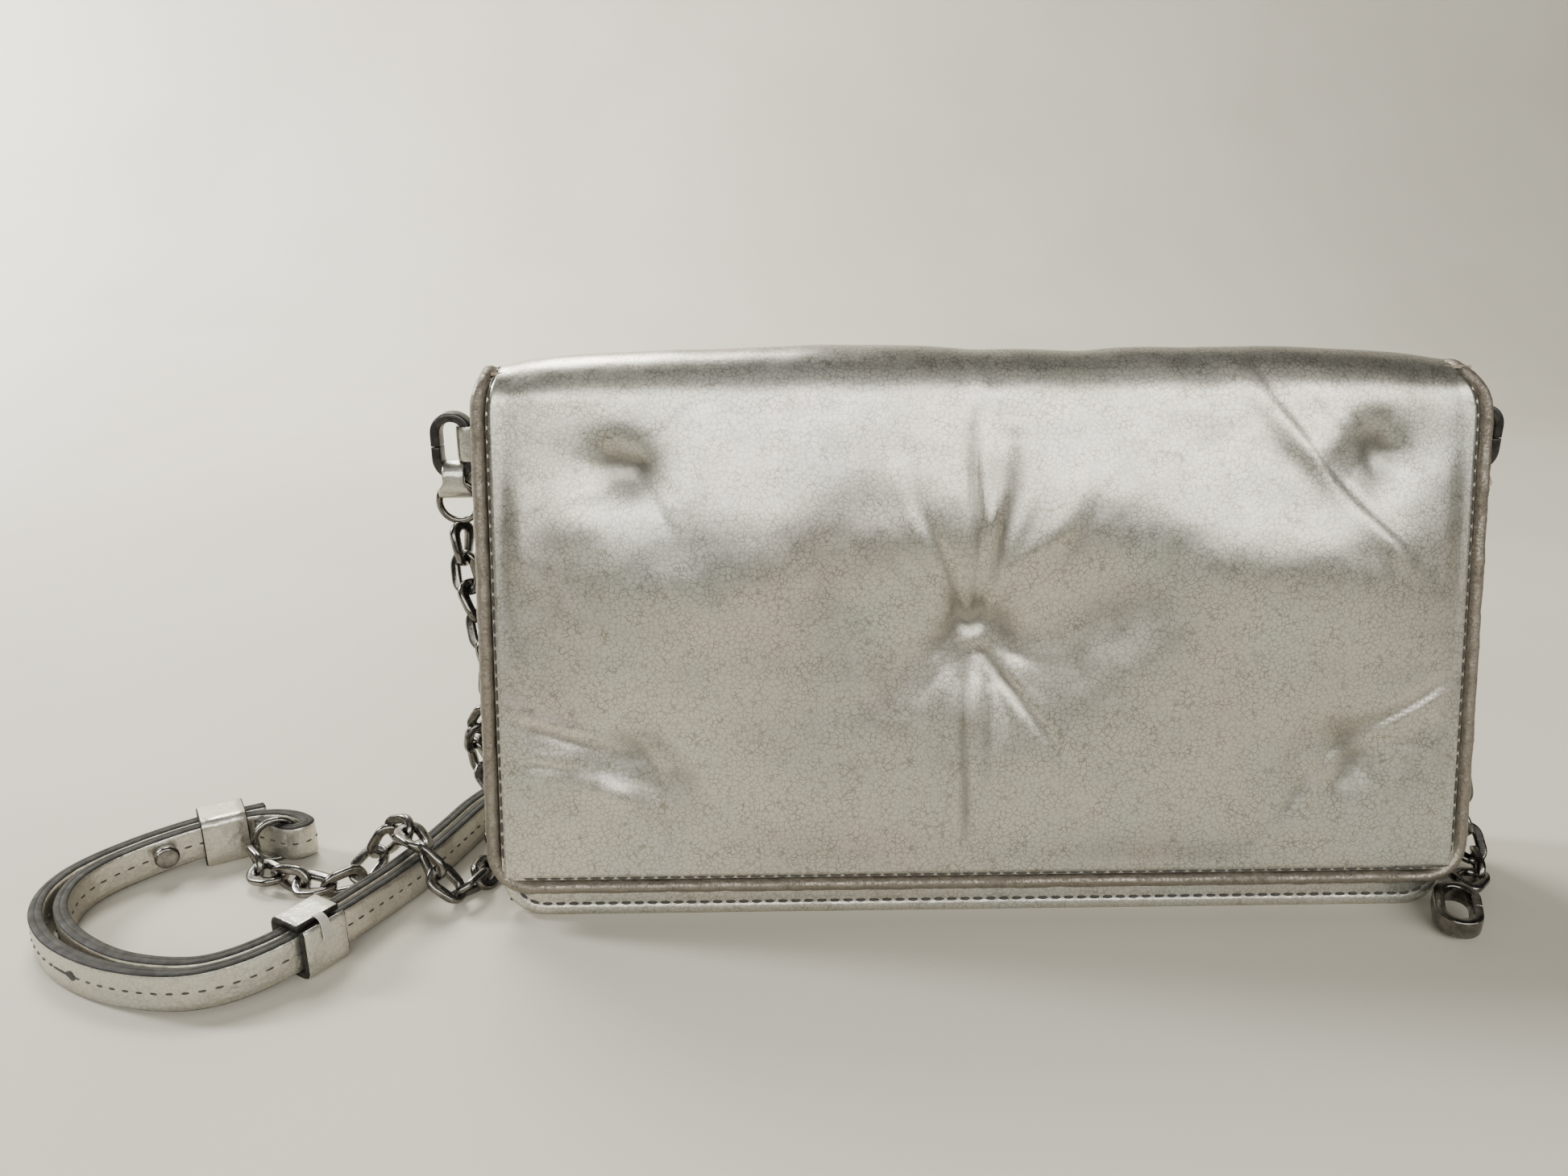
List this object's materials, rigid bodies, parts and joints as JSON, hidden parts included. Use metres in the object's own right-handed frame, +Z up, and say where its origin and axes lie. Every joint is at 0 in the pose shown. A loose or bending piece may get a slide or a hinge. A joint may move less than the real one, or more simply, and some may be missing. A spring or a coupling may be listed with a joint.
{
  "type": "chain wallet",
  "caption": "Padded silver leather flap wallet with a doubled leather shoulder strap, curb chains at both sides, card panels and a zipped inner pocket.",
  "frame": {"origin": "middle of the wallet's footprint, on the surface it stands on, without the strap and the loose chain", "axes": "+X along the wallet's length to its right, +Z up, and the flap faces -Y"},
  "size_m": [0.3048, 0.0882, 0.1115],
  "materials": {
    "silver_leather": "metallic silver nappa, crinkled and slightly worn",
    "bound_edge": "rolled silver leather edge, rubbed to beige",
    "stiffener_board": "bonded stiffener",
    "lining_leather": "smooth dark lining",
    "zip_tape": "woven tape",
    "gunmetal": "polished gunmetal plate",
    "dark_gunmetal": "dark satin gunmetal plate"
  },
  "bodies": {
    "carcass": {"back_pad": "silver_leather", "base_panel": "silver_leather", "left_ring_tab": "silver_leather", "right_ring_tab": "silver_leather", "left_chain_tab": "silver_leather", "right_chain_tab": "silver_leather", "strap": "silver_leather", "sewn_keeper": "silver_leather", "back_binding": "bound_edge", "back_board": "stiffener_board", "back_lining": "lining_leather", "card_panel_1": "lining_leather", "card_panel_2": "lining_leather", "card_panel_3": "lining_leather", "card_panel_4": "lining_leather", "left_gusset": "lining_leather", "right_gusset": "lining_leather", "strap_stud": "gunmetal", "left_strap_ring": "gunmetal", "right_strap_ring": "gunmetal", "left_chain_ring": "gunmetal", "right_chain_ring": "gunmetal", "left_chain": "gunmetal", "right_chain_upper": "gunmetal", "right_chain_lower": "gunmetal", "corner_link": "gunmetal", "left_ring": "dark_gunmetal", "right_ring": "dark_gunmetal"},
    "spine": {"spine_board": "stiffener_board", "spine_pad": "silver_leather", "spine_binding_left": "bound_edge", "spine_binding_right": "bound_edge"},
    "flap": {"flap_binding": "bound_edge", "flap_pad": "silver_leather", "flap_board": "stiffener_board", "flap_lining": "lining_leather", "snap_cap": "gunmetal"},
    "front": {"front_panel": "silver_leather", "front_lining": "lining_leather", "front_slip_pocket": "lining_leather", "snap_socket": "gunmetal"},
    "zip_pocket": {"zip_pocket_front": "lining_leather", "zip_pocket_back": "lining_leather", "zip_pocket_hem": "lining_leather", "zip_tape_front": "zip_tape", "zip_tape_back": "zip_tape", "zip_teeth_front": "gunmetal", "zip_teeth_back": "gunmetal", "zip_stop_left": "gunmetal", "zip_stop_right": "gunmetal"},
    "slider": {"zip_slider": "gunmetal"},
    "puller": {"zip_puller": "gunmetal"},
    "keeper": {"sliding_keeper": "silver_leather"}
  },
  "joints": [
    {"name": "spine_fold", "type": "hinge", "parent": "carcass", "child": "spine", "pos_m": [0, 0.02111, 0.10503], "axis": [-1, 0, 0], "range_deg": [0, 90]},
    {"name": "flap_fold", "type": "hinge", "parent": "spine", "child": "flap", "pos_m": [0, -0.00147, 0.10877], "axis": [-1, 0, 0], "range_deg": [0, 90]},
    {"name": "front_open", "type": "hinge", "parent": "carcass", "child": "front", "pos_m": [0, -0.01953, 0.00063], "axis": [1, 0, 0], "range_deg": [0, 14], "deforming": ["left_gusset", "right_gusset"]},
    {"name": "pocket_open", "type": "hinge", "parent": "carcass", "child": "zip_pocket", "pos_m": [0, -0.00668, 0.00205], "axis": [1, 0, 0], "range_deg": [0, 6]},
    {"name": "zip_slide", "type": "slide", "parent": "zip_pocket", "child": "slider", "axis": [1, 0, 0], "range_m": [0, 0.12]},
    {"name": "puller_swing", "type": "hinge", "parent": "slider", "child": "puller", "pos_m": [-0.062, 0.00598, 0.08195], "axis": [0, -0.9877, 0.1564], "range_deg": [0, 175]},
    {"name": "keeper_slide", "type": "slide", "parent": "carcass", "child": "keeper", "axis": [0.8616, 0.5075, 0], "range_m": [-0.003, 0.0015]}
  ],
  "couplings": [
    {"joint": "flap_fold", "follows": "spine_fold", "ratio": 1},
    {"joint": "front_open", "follows": "spine_fold", "ratio": 0.15556},
    {"joint": "pocket_open", "follows": "spine_fold", "ratio": 0.066667}
  ]
}
